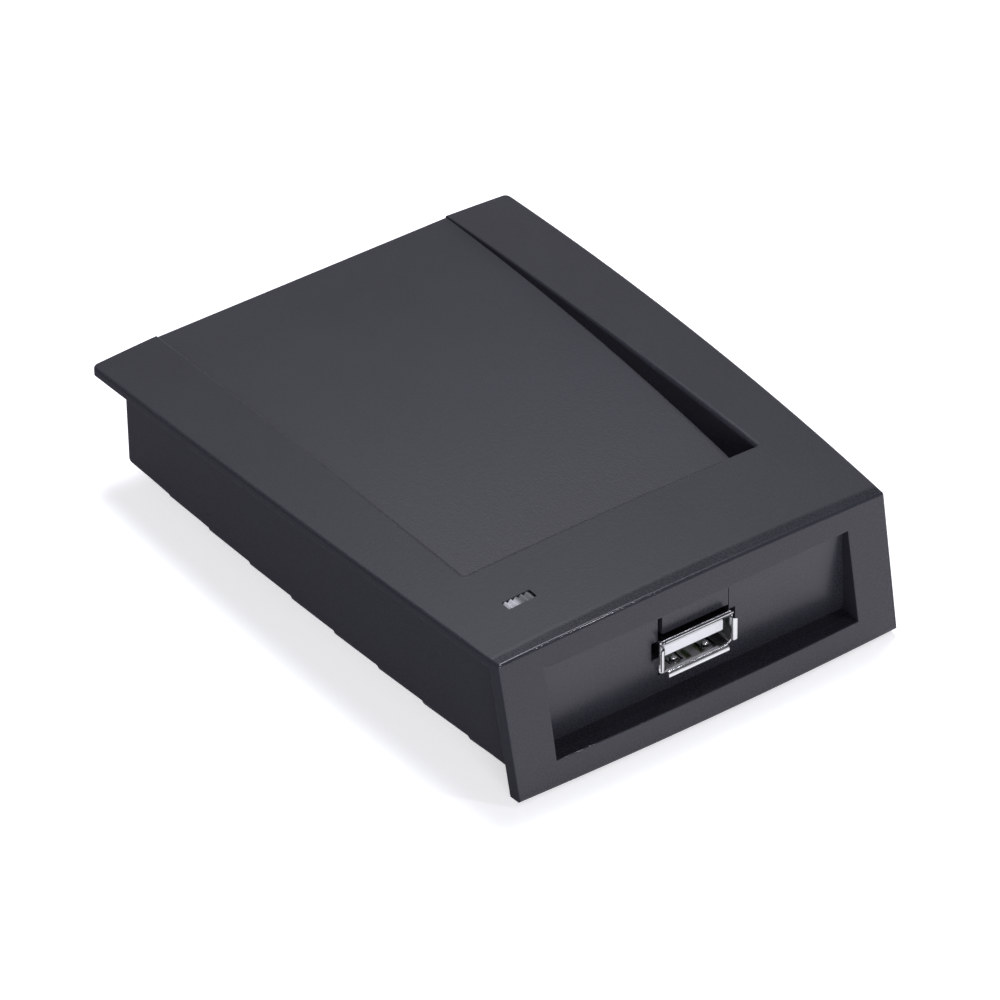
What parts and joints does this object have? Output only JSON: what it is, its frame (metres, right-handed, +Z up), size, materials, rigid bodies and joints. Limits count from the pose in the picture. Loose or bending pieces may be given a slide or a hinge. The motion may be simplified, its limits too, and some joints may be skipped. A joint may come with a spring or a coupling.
{
  "type": "rfid card reader",
  "caption": "Low desktop card reader: black wedge case with an overhanging cover, a sloping card recess, an indicator window and a USB-A socket in a skirted end.",
  "frame": {"origin": "centre of the reader's plan box, on the desk plane under the rubber feet", "axes": "+Y towards the end with the USB socket, -Y towards the user's end where the card goes in, +Z up, +X across"},
  "size_m": [0.0802, 0.11, 0.0254],
  "materials": {
    "case_black": "fine spark-eroded texture, matt",
    "clear_lens": "clear moulded, polished",
    "foot_rubber": "matt",
    "screw_steel": "black zinc plate",
    "blank_label": "satin film",
    "socket_nickel": "bright nickel plate",
    "socket_plastic": "smooth moulded",
    "contact_gold": "flash gold plate",
    "board_green": "solder mask over glass laminate",
    "coil_copper": "copper track under solder mask",
    "chip_black": "moulded epoxy",
    "tinned_lead": "bright tin plate",
    "buzzer_black": "smooth moulded",
    "can_steel": "drawn steel can",
    "can_aluminium": "bare can with a dark sleeve edge",
    "resistor_ceramic": "glazed",
    "capacitor_ceramic": "unglazed",
    "lamp_clear": "clear epoxy",
    "choke_ferrite": "sintered ferrite"
  },
  "bodies": {
    "root": {"top_cover": "case_black", "base_case": "case_black", "light_pipe": "clear_lens", "rubber_feet": "foot_rubber", "case_screws": "screw_steel", "board_screws": "screw_steel", "rating_label": "blank_label", "usb_shell": "socket_nickel", "usb_tongue": "socket_plastic", "usb_contacts": "contact_gold", "main_board": "board_green", "antenna_coil": "coil_copper", "mcu_chip": "chip_black", "mcu_leads": "tinned_lead", "rf_chip": "chip_black", "rf_leads": "tinned_lead", "buzzer_can": "buzzer_black", "buzzer_pins": "tinned_lead", "clock_crystals": "can_steel", "bulk_capacitor": "can_aluminium", "voltage_regulator": "chip_black", "regulator_leads": "tinned_lead", "chip_resistors": "resistor_ceramic", "chip_capacitors": "capacitor_ceramic", "status_leds": "lamp_clear", "power_choke": "choke_ferrite", "header_block": "chip_black", "header_pins": "contact_gold"}
  },
  "joints": []
}
